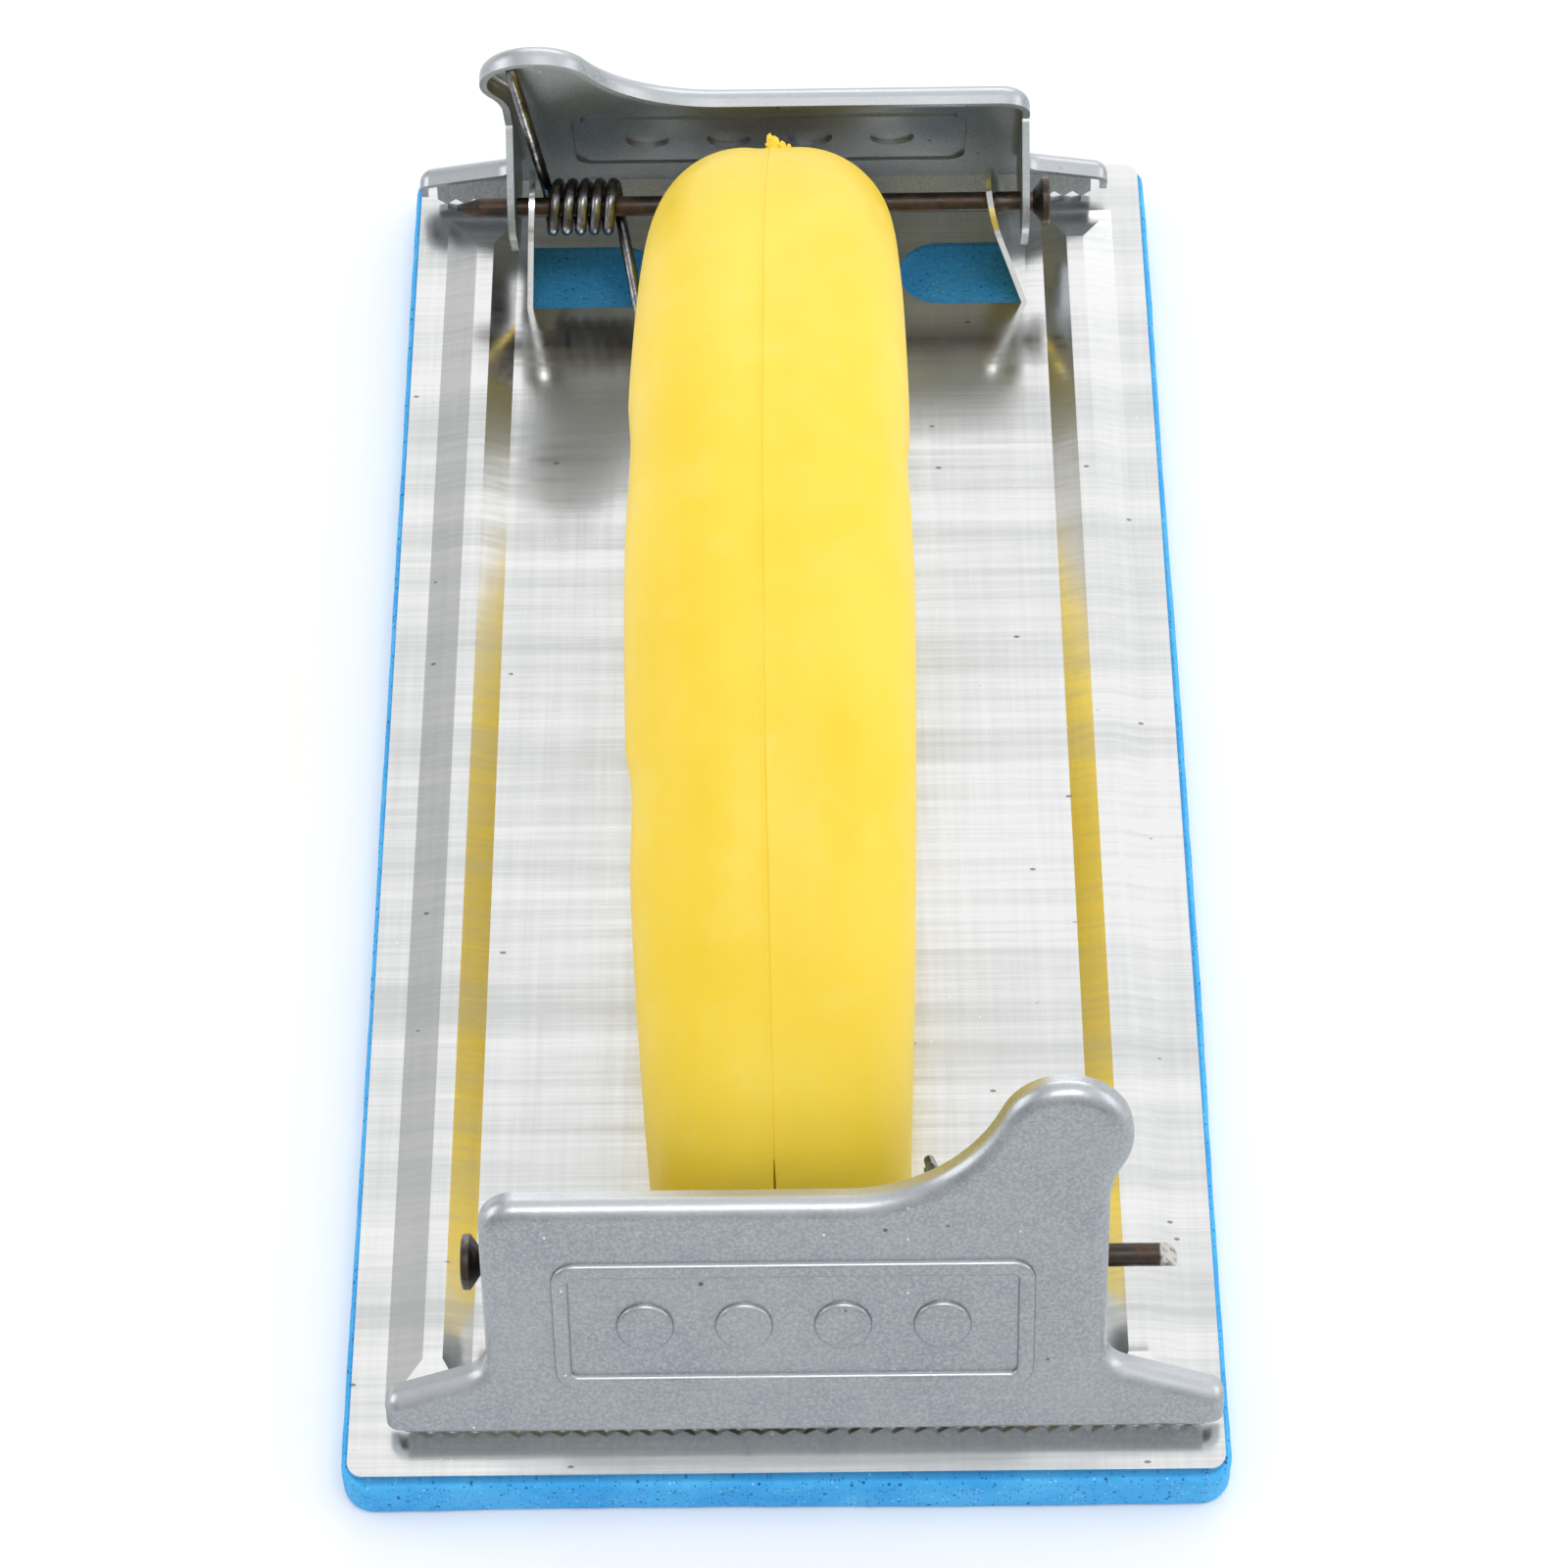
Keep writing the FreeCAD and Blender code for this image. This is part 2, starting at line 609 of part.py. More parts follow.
def draw_embossing(sketch, slim):
    """The frame bead and four plain round bosses, thinned by an amount on every side."""
    half_bead = size("bead_width") / 2 - slim
    draw(sketch, frame_outline(half_bead))
    draw(sketch, frame_outline(-half_bead))
    middle = (size("frame_right") - size("frame_left")) / 2
    level = (size("frame_low") + size("frame_high")) / 2 - size("face_foot")
    for step in (-1.5, -0.5, 0.5, 1.5):
        centre = Vector(middle + step * size("boss_pitch"), level, 0)
        sketch.addGeometry(Part.Circle(centre, Vector(0, 0, 1), size("boss_radius") - slim), False)


def make_clamp_face(end):
    """The pressed face: a shallow tray with a rolled rim, open along the jaw, and its embossing."""
    body = new_body(end + "_clamp_face")
    outline = sketch_on(body, end + "_clamp_outline", "XY_Plane", "sizes.face_gap - sizes.rim_depth")
    draw(outline, clamp_outline())
    block = pad(body, end + "_clamp_block", outline, "sizes.rim_depth")
    front = size("face_gap")
    fold = size("jaw_fold") - size("face_foot")
    rim = edges_where(block.Shape, lambda box: flat_at(box, "Z", front) and not flat_at(box, "Y", fold))
    rolled = round_edges(body, end + "_rolled_rim", block, rim, "sizes.rim_round")
    back = front - size("rim_depth")
    opened = faces_where(rolled.Shape, lambda box: flat_at(box, "Z", back) or flat_at(box, "Y", fold))
    tray = body.newObject("PartDesign::Thickness", end + "_clamp_tray")
    tray.Base = (rolled, opened)
    tray.setExpression("Value", "sizes.clamp_sheet")
    tray.Reversed = True
    doc.recompute()

    raised = sketch_on(body, end + "_bead_outline", "XY_Plane", "sizes.face_gap")
    draw_embossing(raised, 0)
    beads = pad(body, end + "_beads", raised, "sizes.bead_height")
    crest = front + size("bead_height")
    crests = edges_where(beads.Shape, lambda box: flat_at(box, "Z", crest))
    round_edges(body, end + "_bead_rounding", beads, crests, "sizes.bead_height * 0.8")
    sunk = sketch_on(body, end + "_groove_outline", "XY_Plane", "sizes.face_gap - sizes.clamp_sheet")
    draw_embossing(sunk, size("bead_inset"))
    pocket(body, end + "_grooves", sunk, "sizes.bead_height", reverse=True)
    return body


def make_lip(end):
    """The toothed jaw lip, a strip drawn in its own folded plane."""
    body = new_body(end + "_jaw_lip")
    outline = sketch_on(body, end + "_lip_outline", "XY_Plane")
    lean = math.radians(size("clamp_lean"))
    fold_angle = math.radians(size("lip_angle"))
    fold = clamp_point(0, size("jaw_fold"), 0).z - PLATE_TOP
    drop = math.cos(fold_angle) * math.cos(lean) + math.sin(fold_angle) * math.sin(lean)
    reach = (fold - size("lip_gap")) / drop
    left = -size("left_wing") + size("wing_round")
    right = size("right_wing") - size("wing_round")
    teeth = int((right - left) / size("tooth_pitch"))
    pitch = (right - left) / teeth
    corners = [(right, 0, 0), (left, 0, 0)]
    for tooth in range(teeth):
        valley = left + tooth * pitch
        corners.append((valley, -reach + size("tooth_depth"), 0))
        corners.append((valley + pitch / 2, -reach, 0))
    corners.append((right, -reach + size("tooth_depth"), 0))
    draw(outline, corners)
    pad(body, end + "_lip_strip", outline, "sizes.clamp_sheet", reverse=True)
    fold_line = Vector(0, size("jaw_fold") - size("face_foot"), size("face_gap"))
    body.Placement = Placement(fold_line, Rotation(Vector(1, 0, 0), size("lip_angle")))
    return body


def make_flange(name, outer_side, inward):
    """A hinge flange running back from the face's side wall to a round end about the pin."""
    body = new_body(name)
    outline = sketch_on(body, name + "_outline", "YZ_Plane")
    radius = size("flange_radius")
    datum = -size("face_foot")
    root = size("face_gap") - size("rim_round")
    high = datum + size("flange_top")
    low = datum + size("flange_foot")
    shoulder = size("flange_shoulder")
    draw(outline, [(low, root, 0), (high, root, 0),
                   (high, root - shoulder, size("flange_upper_round")),
                   (radius, -radius, radius * NEARLY), (-radius, -radius, radius * NEARLY),
                   (low - shoulder / 2, root - 2 * shoulder, size("flange_lower_round"))])
    pad(body, name + "_blade", outline, "sizes.clamp_sheet", reverse=inward < 0)
    body.Placement = Placement(Vector(outer_side, 0, 0), Rotation())
    return body


def make_clamp(end):
    """One paper clamp: face, toothed lip and two hinge flanges, bored for its pin."""
    face = make_clamp_face(end)
    lip = make_lip(end)
    left = make_flange(end + "_left_flange", -size("left_side"), 1)
    right = make_flange(end + "_right_flange", size("right_side"), -1)
    pressed = join(end + "_clamp_pressed", [face, lip, left, right])
    bore = doc.addObject("Part::Cylinder", end + "_clamp_bore")
    bore.setExpression("Radius", "sizes.pin_diameter / 2 + sizes.running_gap")
    bore.setExpression("Height", "sizes.plate_width")
    bore.Placement = Placement(Vector(-size("plate_width") / 2, 0, 0), ALONG_X)
    clamp = cut(end + "_clamp", pressed, bore)
    upright = Rotation(Vector(1, 0, 0), 90 - size("clamp_lean"))
    place_end(clamp, end, Vector(0, -size("pin_along"), PIN_Z), upright)
    return clamp


# --- the pieces ----------------------------------------------------------------------------

pieces = [make_foam_pad(), make_base_plate(), make_handle()]
pieces += [make_near_pin(), make_far_pin()]
for end in ("near", "far"):
    pieces.append(make_spring(end))
    pieces.append(make_clamp(end))
doc.recompute()

for item in doc.Objects:
    if "Invalid" in item.State or "Error" in item.State:
        raise RuntimeError("%s failed: %s" % (item.Label, item.State))
for piece in pieces:
    if piece.Shape.isNull() or not piece.Shape.isValid():
        raise RuntimeError("%s has no valid shape" % piece.Label)
    if len(piece.Shape.Solids) != 1:
        raise RuntimeError("%s has %d solids" % (piece.Label, len(piece.Shape.Solids)))

os.makedirs("parts", exist_ok=True)
for piece in pieces:
    piece.Shape.exportStep("parts/%s.step" % piece.Label)
    box = piece.Shape.BoundBox
    print("%-16s %9.1f mm3  x %6.1f..%6.1f  y %6.1f..%6.1f  z %6.1f..%6.1f" % (
        piece.Label, piece.Shape.Volume, box.XMin, box.XMax, box.YMin, box.YMax, box.ZMin, box.ZMax))
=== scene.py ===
import json
import math
import random

import bpy
from mathutils import Matrix, Vector, noise


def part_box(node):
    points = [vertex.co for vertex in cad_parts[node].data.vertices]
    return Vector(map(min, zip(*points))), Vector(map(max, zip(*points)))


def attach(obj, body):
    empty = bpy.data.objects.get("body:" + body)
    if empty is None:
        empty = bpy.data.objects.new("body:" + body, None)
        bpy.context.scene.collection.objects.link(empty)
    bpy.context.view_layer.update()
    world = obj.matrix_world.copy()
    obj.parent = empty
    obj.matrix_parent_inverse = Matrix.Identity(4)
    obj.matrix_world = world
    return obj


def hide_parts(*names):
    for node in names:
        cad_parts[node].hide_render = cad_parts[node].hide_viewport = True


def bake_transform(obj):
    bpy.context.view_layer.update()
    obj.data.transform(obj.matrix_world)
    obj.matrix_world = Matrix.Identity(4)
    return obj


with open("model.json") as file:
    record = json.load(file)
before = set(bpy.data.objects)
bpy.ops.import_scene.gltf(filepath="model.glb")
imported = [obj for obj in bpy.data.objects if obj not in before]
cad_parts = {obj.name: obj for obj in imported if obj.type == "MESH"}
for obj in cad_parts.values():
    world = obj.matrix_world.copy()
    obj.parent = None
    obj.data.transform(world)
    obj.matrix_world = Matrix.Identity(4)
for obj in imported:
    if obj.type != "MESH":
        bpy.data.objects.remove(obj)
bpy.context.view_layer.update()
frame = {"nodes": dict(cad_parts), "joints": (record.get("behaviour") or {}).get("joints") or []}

MM = 0.001
BOARD = "board"
ENDS = ("near", "far")

foam_low, foam_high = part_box("foam_pad")
bow_low, bow_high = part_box("handle")
PLATE_TOP = bow_low[2]
hinges = {joint["name"]: joint for joint in frame["joints"]}


def hinge_point(end):
    """Where an end's hinge pin axis crosses the middle of the board."""
    return Vector(hinges[end + "_clamp_hinge"]["pos_m"])


# --- camera and light ----------------------------------------------------------------------

CAMERA_PLACE = Vector((0.005557, -0.327047, 0.463837 + PLATE_TOP))
CAMERA_DIP = 0.964104
CAMERA_AZIMUTH = -0.0167225
CAMERA_ROLL = -0.0254785
CAMERA_LENS = 97.845
SENSOR = 36.0


def make_camera():
    """The view from above the near end, looking steeply down along the board."""
    ahead = Vector((math.sin(CAMERA_AZIMUTH) * math.cos(CAMERA_DIP),
                    math.cos(CAMERA_AZIMUTH) * math.cos(CAMERA_DIP),
                    -math.sin(CAMERA_DIP)))
    level = Vector((math.cos(CAMERA_AZIMUTH), -math.sin(CAMERA_AZIMUTH), 0))
    upright = level.cross(ahead)
    right = level * math.cos(CAMERA_ROLL) + upright * math.sin(CAMERA_ROLL)
    up = upright * math.cos(CAMERA_ROLL) - level * math.sin(CAMERA_ROLL)
    data = bpy.data.cameras.new("camera")
    data.lens = CAMERA_LENS
    data.sensor_width = SENSOR
    data.clip_start = 0.01
    camera = bpy.data.objects.new("camera", data)
    bpy.context.scene.collection.objects.link(camera)
    turn = Matrix((right, up, -ahead)).transposed()
    camera.matrix_world = Matrix.Translation(CAMERA_PLACE) @ turn.to_4x4()
    bpy.context.scene.camera = camera


# Each light: place in metres, width and height in metres, power in watts.
LIGHTS = {
    "left_side": ((-1.1, 0.1, 0.5), 0.9, 0.6, 3.4),
    "right_side": ((1.15, 0.1, 0.45), 0.9, 0.5, 2.0),
    "behind": ((0.2, 1.45, 0.75), 1.3, 0.45, 3.5),
    "front_top": ((0.1, -0.4, 1.25), 0.7, 0.35, 3.8),
}


def make_area_light(name, place, width, height, power):
    """A soft white rectangular light aimed at the middle of the board's underside."""
    data = bpy.data.lights.new(name, "AREA")
    data.shape = "RECTANGLE"
    data.size = width
    data.size_y = height
    data.energy = power
    light = bpy.data.objects.new(name, data)
    light.location = place
    light.rotation_euler = (-Vector(place)).to_track_quat("-Z", "Y").to_euler()
    bpy.context.scene.collection.objects.link(light)


SKY_AIM = (0.25, 0.5, 0.83)
SKY_LOW = 0.68
SKY_HIGH = 1.0
SKY_LEFT = 0.6
SKY_COLOUR = (0.99, 0.995, 1, 1)


def make_world():
    """A soft surround, brightest above and behind the board and dimmer towards the front."""
    world = bpy.data.worlds.new("studio")
    world.use_nodes = True
    tree = world.node_tree
    tree.nodes.clear()
    coordinates = tree.nodes.new("ShaderNodeTexCoord")
    towards = tree.nodes.new("ShaderNodeVectorMath")
    towards.operation = "DOT_PRODUCT"
    towards.inputs[1].default_value = SKY_AIM
    glow = tree.nodes.new("ShaderNodeMapRange")
    glow.interpolation_type = "SMOOTHSTEP"
    glow.inputs["From Min"].default_value = -0.1
    glow.inputs["From Max"].default_value = 0.95
    glow.inputs["To Min"].default_value = SKY_LOW
    glow.inputs["To Max"].default_value = SKY_HIGH
    split = tree.nodes.new("ShaderNodeSeparateXYZ")
    leftward = tree.nodes.new("ShaderNodeMapRange")
    leftward.interpolation_type = "SMOOTHSTEP"
    leftward.inputs["From Min"].default_value = -0.5
    leftward.inputs["From Max"].default_value = -0.2
    leftward.inputs["To Min"].default_value = SKY_LEFT
    product = tree.nodes.new("ShaderNodeMath")
    product.operation = "MULTIPLY"
    background = tree.nodes.new("ShaderNodeBackground")
    background.inputs["Color"].default_value = SKY_COLOUR
    output = tree.nodes.new("ShaderNodeOutputWorld")
    tree.links.new(coordinates.outputs["Generated"], towards.inputs[0])
    tree.links.new(towards.outputs["Value"], glow.inputs["Value"])
    tree.links.new(coordinates.outputs["Generated"], split.inputs[0])
    tree.links.new(split.outputs["X"], leftward.inputs["Value"])
    tree.links.new(glow.outputs["Result"], product.inputs[0])
    tree.links.new(leftward.outputs["Result"], product.inputs[1])
    tree.links.new(product.outputs[0], background.inputs["Strength"])
    tree.links.new(background.outputs["Background"], output.inputs["Surface"])
    bpy.context.scene.world = world


# --- material building blocks --------------------------------------------------------------

class Shader:
    """A node material built around one Principled shader."""

    def __init__(self, name, **sockets):
        self.material = bpy.data.materials.new(name)
        self.material.use_nodes = True
        self.tree = self.material.node_tree
        self.tree.nodes.clear()
        output = self.tree.nodes.new("ShaderNodeOutputMaterial")
        self.shader = self.tree.nodes.new("ShaderNodeBsdfPrincipled")
        self.tree.links.new(self.shader.outputs[0], output.inputs["Surface"])
        for key, value in sockets.items():
            self.shader.inputs[key.replace("_", " ")].default_value = value
        self.coordinates = self.tree.nodes.new("ShaderNodeTexCoord").outputs["Object"]

    def link(self, source, target):
        self.tree.links.new(source, target)

    def set(self, socket, source):
        self.link(source, self.shader.inputs[socket])

    def stretched(self, scale):
        """Object coordinates scaled along X, Y and Z."""
        mapping = self.tree.nodes.new("ShaderNodeMapping")
        mapping.inputs["Scale"].default_value = scale
        self.link(self.coordinates, mapping.inputs["Vector"])
        return mapping.outputs["Vector"]

    def noise(self, scale, detail=3.0, roughness=0.5, stretch=None):
        """A noise value; scale is in features per metre."""
        node = self.tree.nodes.new("ShaderNodeTexNoise")
        node.inputs["Scale"].default_value = scale
        node.inputs["Detail"].default_value = detail
        node.inputs["Roughness"].default_value = roughness
        self.link(self.stretched(stretch) if stretch else self.coordinates, node.inputs["Vector"])
        return node.outputs["Fac"]

    def cells(self, scale, stretch=None, output="Distance"):
        """A Voronoi value: the distance to a cell's point, or its colour."""
        node = self.tree.nodes.new("ShaderNodeTexVoronoi")
        node.inputs["Scale"].default_value = scale
        self.link(self.stretched(stretch) if stretch else self.coordinates, node.inputs["Vector"])
        return node.outputs[output]

    def ramp(self, source, low, high, low_value=0.0, high_value=1.0):
        """Maps a value from one range to another, clamped."""
        node = self.tree.nodes.new("ShaderNodeMapRange")
        node.inputs["From Min"].default_value = low
        node.inputs["From Max"].default_value = high
        node.inputs["To Min"].default_value = low_value
        node.inputs["To Max"].default_value = high_value
        self.link(source, node.inputs["Value"])
        return node.outputs["Result"]

    def combine(self, operation, first, second):
        """A maths node on two values, each a socket or a number."""
        node = self.tree.nodes.new("ShaderNodeMath")
        node.operation = operation
        for socket, value in zip(node.inputs, (first, second)):
            if isinstance(value, (int, float)):
                socket.default_value = value
            else:
                self.link(value, socket)
        return node.outputs[0]

    def blend(self, factor, first, second):
        """Mixes two colours, each a socket or an RGB triple."""
        node = self.tree.nodes.new("ShaderNodeMix")
        node.data_type = "RGBA"
        self.link(factor, node.inputs["Factor"])
        for socket, value in ((node.inputs["A"], first), (node.inputs["B"], second)):
            if isinstance(value, tuple):
                socket.default_value = (*value, 1)
            else:
                self.link(value, socket)
        return node.outputs["Result"]

    def split(self, axis):
        """One object coordinate, in metres."""
        node = self.tree.nodes.new("ShaderNodeSeparateXYZ")
        self.link(self.coordinates, node.inputs[0])
        return node.outputs[axis]

    def facing(self, axis):
        """How far the surface faces along one of the piece's own axes, -1 to 1."""
        node = self.tree.nodes.new("ShaderNodeSeparateXYZ")
        self.link(self.tree.nodes.new("ShaderNodeTexCoord").outputs["Normal"], node.inputs[0])
        return node.outputs[axis]

    def bump(self, height, strength, distance, below=None):
        """A bump normal, stacked on an earlier one if given; distance is in metres."""
        node = self.tree.nodes.new("ShaderNodeBump")
        node.inputs["Strength"].default_value = strength
        node.inputs["Distance"].default_value = distance
        self.link(height, node.inputs["Height"])
        if below:
            self.link(below, node.inputs["Normal"])
        return node.outputs["Normal"]

    def spots(self, scale, size, share, stretch=None):
        """Sparse round spots: 1 inside a spot, 0 elsewhere; share of the cells carry one."""
        near = self.ramp(self.cells(scale, stretch), size * 0.6, size, 1, 0)
        colour = self.cells(scale, stretch, output="Color")
        node = self.tree.nodes.new("ShaderNodeSeparateColor")
        self.link(colour, node.inputs[0])
        chosen = self.combine("LESS_THAN", node.outputs[0], share)
        return self.combine("MULTIPLY", near, chosen)


def linear(red, green, blue):
    """A display colour, 0 to 255, as the linear colour a shader takes."""
    def channel(value):
        value /= 255
        return value / 12.92 if value <= 0.04045 else ((value + 0.055) / 1.055) ** 2.4
    return (channel(red), channel(green), channel(blue))


# --- materials -----------------------------------------------------------------------------

def make_plastic():
    """Waxy yellow moulded plastic with faint mottling, scuffs and a few dark specks."""
    kit = Shader("yellow_plastic", Roughness=0.42, Subsurface_Weight=0.12, Subsurface_Scale=0.004,
                 IOR=1.46, Specular_IOR_Level=0.4)
    kit.shader.inputs["Subsurface Radius"].default_value = (1.0, 0.7, 0.2)
    mottle = kit.noise(45, detail=4)
    colour = kit.blend(kit.ramp(mottle, 0.35, 0.65), linear(244, 210, 54), linear(250, 218, 76))
    cloud = kit.noise(160, detail=3, roughness=0.6)
    colour = kit.blend(kit.ramp(cloud, 0.55, 0.8, 0, 0.35), colour, linear(252, 224, 110))
    specks = kit.spots(70, 0.035, 0.12)
    colour = kit.blend(kit.combine("MULTIPLY", specks, 0.7), colour, linear(150, 110, 40))
    kit.set("Base Color", colour)
    kit.set("Roughness", kit.ramp(kit.noise(220, detail=5), 0.3, 0.7, 0.36, 0.5))
    skin = kit.bump(kit.noise(900, detail=3), 0.12, 0.0002)
    scuffs = kit.noise(90, detail=6, roughness=0.65, stretch=(3, 0.5, 1))
    kit.set("Normal", kit.bump(scuffs, 0.1, 0.0004, skin))
    return kit.material


def make_rolled_sheet():
    """Bright rolled sheet: soft bands, fine cross marks, long scratches and small pits."""
    kit = Shader("rolled_sheet", Metallic=1.0, Roughness=0.2)
    bands = kit.noise(150, detail=3, roughness=0.5, stretch=(0.03, 1, 0.3))
    lines = kit.noise(1100, detail=4, roughness=0.7, stretch=(0.02, 1, 0.3))
    along = kit.noise(1000, detail=3, roughness=0.6, stretch=(1, 0.03, 0.3))
    patches = kit.noise(30, detail=4, roughness=0.6)
    fine = kit.combine("ADD", kit.combine("MULTIPLY", lines, 0.7), kit.combine("MULTIPLY", along, 0.3))
    tone = kit.combine("ADD", kit.combine("MULTIPLY", bands, 0.4),
                       kit.combine("ADD", kit.combine("MULTIPLY", fine, 0.45),
                                   kit.combine("MULTIPLY", patches, 0.15)))
    wide = kit.ramp(kit.noise(60, detail=2, stretch=(0.03, 1, 0.3)), 0.47, 0.53, -0.025, 0.025)
    tone = kit.combine("ADD", tone, wide)
    colour = kit.blend(kit.ramp(tone, 0.4, 0.6), linear(210, 212, 212), linear(243, 243, 242))
    pits = kit.spots(380, 0.1, 0.2, (0.5, 1, 1))
    colour = kit.blend(kit.combine("MULTIPLY", pits, 0.75), colour, linear(96, 96, 98))
    glints = kit.spots(800, 0.12, 0.04)
    colour = kit.blend(glints, colour, linear(252, 252, 252))
    kit.set("Base Color", colour)
    kit.set("Roughness", kit.ramp(tone, 0.4, 0.62, 0.27, 0.13))
    grain = kit.bump(fine, 0.1, 0.0001)
    scratches = kit.ramp(kit.cells(60, (14, 0.6, 1)), 0.0, 0.05)
    grain = kit.bump(scratches, 0.1, 0.00006, grain)
    kit.set("Normal", kit.bump(kit.noise(24, detail=2), 0.25, 0.0005, grain))
    return kit.material


def make_zinc():
    """Dull galvanised pressing: cloudy grey, fine grain, pits, brighter nicks and a painted highlight on
    up-facing surfaces.
    """
    kit = Shader("galvanised_steel", Metallic=0.82, Roughness=0.42)
    cloud = kit.noise(70, detail=5, roughness=0.6)
    grain = kit.noise(2300, detail=5, roughness=0.7)
    colour = kit.blend(kit.ramp(cloud, 0.3, 0.75), linear(140, 148, 155), linear(162, 168, 173))
    colour = kit.blend(kit.ramp(grain, 0.42, 0.68, 0, 0.5), colour, linear(205, 207, 208))
    pits = kit.spots(420, 0.17, 0.08)
    colour = kit.blend(kit.combine("MULTIPLY", pits, 0.8), colour, linear(70, 68, 66))
    nicks = kit.spots(620, 0.13, 0.04)
    colour = kit.blend(kit.combine("MULTIPLY", nicks, 0.9), colour, linear(238, 238, 238))
    # Painted highlight: surfaces facing up are lightened towards pale grey, with slightly lower roughness,
    # standing in for the bright rim highlights.
    painted_top_highlight = kit.ramp(kit.combine("ADD", kit.facing("Z"), kit.ramp(cloud, 0.3, 0.7, -0.12, 0.12)), 0.5, 0.82)
    colour = kit.blend(kit.combine("MULTIPLY", painted_top_highlight, 0.7), colour, linear(202, 205, 209))
    kit.set("Base Color", colour)
    dull = kit.ramp(cloud, 0.3, 0.7, 0.3, 0.44)
    kit.set("Roughness", kit.combine("SUBTRACT", dull, kit.combine("MULTIPLY", painted_top_highlight, 0.03)))
    fine = kit.bump(grain, 0.22, 0.0001)
    rolled = kit.bump(kit.noise(400, detail=3, stretch=(0.1, 1, 1)), 0.08, 0.0002, fine)
    kit.set("Normal", kit.bump(kit.noise(60, detail=2), 0.2, 0.0008, rolled))
    return kit.material


CLIP_START = 44.6 * MM


def make_nail_steel():
    """Dark nail steel with brown rust, worn edges, and bare metal where an end was clipped."""
    kit = Shader("nail_steel", Metallic=0.85, Roughness=0.42)
    rust = kit.noise(420, detail=6, roughness=0.65)
    colour = kit.blend(kit.ramp(rust, 0.42, 0.62), linear(62, 58, 55), linear(88, 70, 58))
    rub = kit.noise(260, detail=4, stretch=(0.35, 1, 1))
    colour = kit.blend(kit.ramp(rub, 0.56, 0.7), colour, linear(136, 132, 126))
    bare = kit.ramp(kit.split("X"), CLIP_START, CLIP_START + 0.3 * MM)
    bare = kit.combine("MULTIPLY", bare, kit.ramp(kit.noise(900, detail=3), 0.35, 0.5, 0.35, 1))
    colour = kit.blend(bare, colour, linear(196, 194, 190))
    kit.set("Base Color", colour)
    kit.set("Roughness", kit.ramp(rust, 0.35, 0.7, 0.3, 0.62))
    kit.set("Normal", kit.bump(rust, 0.35, 0.0003))
    return kit.material


def make_spring_steel():
    """Drawn spring wire: dark, with bright wear and fine draw lines."""
    kit = Shader("spring_steel", Metallic=1.0, Roughness=0.3)
    wear = kit.noise(300, detail=5, roughness=0.6)
    kit.set("Base Color", kit.blend(kit.ramp(wear, 0.4, 0.66), linear(82, 82, 84),
                                    linear(150, 151, 154)))
    kit.set("Roughness", kit.ramp(wear, 0.35, 0.65, 0.36, 0.22))
    kit.set("Normal", kit.bump(kit.noise(2500, detail=2), 0.12, 0.0001))
    return kit.material


def make_sponge():
    """Blue closed-cell sponge: cut skin with open pores, pale glints, dark pinholes and painted shade on
    its top face.
    """
    kit = Shader("blue_sponge", Roughness=0.78, Specular_IOR_Level=0.3)
    cloud = kit.noise(120, detail=5, roughness=0.6)
    colour = kit.blend(kit.ramp(cloud, 0.35, 0.65), linear(58, 166, 236), linear(84, 186, 246))
    holes = kit.spots(900, 0.24, 0.32)
    colour = kit.blend(kit.combine("MULTIPLY", holes, 0.85), colour, linear(14, 66, 116))
    pinholes = kit.spots(2100, 0.34, 0.42)
    colour = kit.blend(kit.combine("MULTIPLY", pinholes, 0.8), colour, linear(20, 80, 134))
    glints = kit.spots(1500, 0.24, 0.22)
    colour = kit.blend(kit.combine("MULTIPLY", glints, 0.8), colour, linear(176, 226, 255))
    # Painted shade: the sponge's up-facing top, seen only through the plate's windows, is darkened to a
    # deeper blue.
    painted_top_shade = kit.ramp(kit.facing("Z"), 0.8, 0.98, 0, 0.55)
    colour = kit.blend(painted_top_shade, colour, linear(28, 104, 160))
    kit.set("Base Color", colour)
    cells = kit.bump(kit.cells(1300), 0.5, 0.0003)
    kit.set("Normal", kit.bump(holes, -0.8, 0.0004, cells))
    return kit.material


def make_floor_paint():
    """Plain pale floor."""
    kit = Shader("pale_floor", Base_Color=(0.96, 0.96, 0.96, 1), Roughness=0.8,
                 Specular_IOR_Level=0.1)
    return kit.material


def finish_node(node, material):
    """Gives a carried-over CAD node its material."""
    target = frame["nodes"][node]
    for slot in target.material_slots:
        slot.material = material
    if not target.material_slots:
        target.data.materials.append(material)


# --- mesh helpers --------------------------------------------------------------------------

def make_mesh(name, points, faces, material, smooth=True):
    """A mesh object from points in metres and faces."""
    mesh = bpy.data.meshes.new(name)
    mesh.from_pydata([tuple(point) for point in points], [], faces)
    mesh.validate()
    mesh.materials.append(material)
    if smooth:
        mesh.shade_smooth()
    piece = bpy.data.objects.new(name, mesh)
    bpy.context.scene.collection.objects.link(piece)
    return piece


def tube_faces(rings, around):
    """Quads between closed rings of points, with both ends closed by one face each."""
    faces = []
    for ring in range(rings - 1):
        for step in range(around):
            following = (step + 1) % around
            base = ring * around
            faces.append((base + step, base + following,
                          base + around + following, base + around + step))
    faces.append(tuple(reversed(range(around))))
    faces.append(tuple((rings - 1) * around + step for step in range(around)))
    return faces


# --- handle --------------------------------------------------------------------------------

